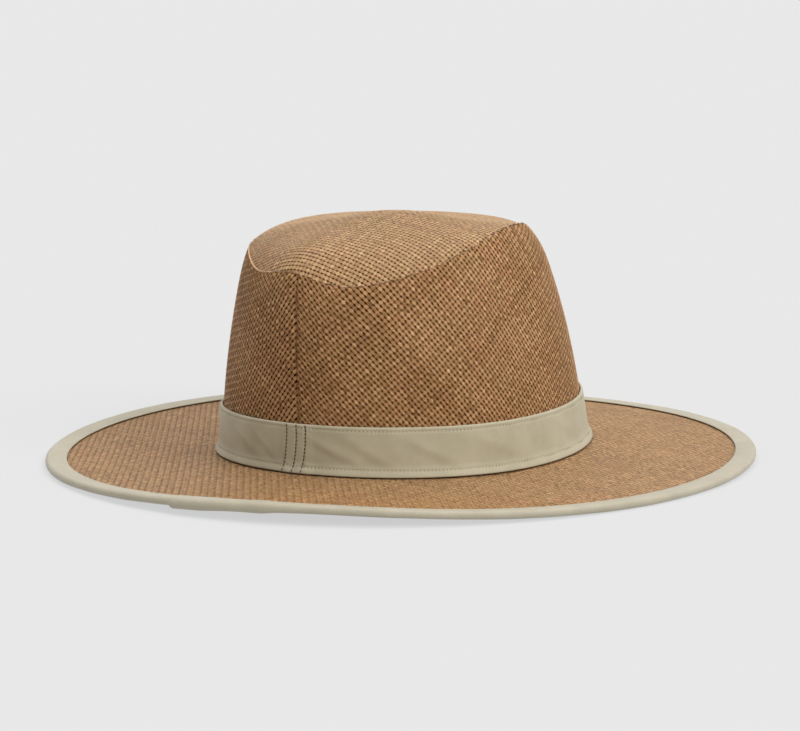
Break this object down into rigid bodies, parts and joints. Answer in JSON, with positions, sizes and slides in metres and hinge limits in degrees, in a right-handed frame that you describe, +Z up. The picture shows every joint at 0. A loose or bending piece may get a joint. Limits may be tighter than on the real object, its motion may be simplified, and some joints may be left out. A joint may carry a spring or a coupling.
{
  "type": "sun hat",
  "caption": "Wide-brimmed sun hat of woven straw: oval domed crown, fabric band round its foot, and a ribbon bound over the edge of the brim.",
  "frame": {"origin": "on the surface that the brim rests on, under the middle of the bounding box", "axes": "+Z up; the wearer faces -Y, so the centre back with its seam and laps is at +Y and the wearer's right is at -X"},
  "size_m": [0.3528, 0.3754, 0.1266],
  "materials": {
    "straw": "matt plain weave of flat paper straw",
    "band_cloth": "matt smooth woven cotton, pale sage",
    "ribbon": "matt smooth woven ribbon, pale sage"
  },
  "bodies": {
    "root": {"crown_tip": "straw", "crown_wall": "straw", "brim": "straw", "brim_binding": "ribbon", "hatband": "band_cloth"}
  },
  "joints": []
}
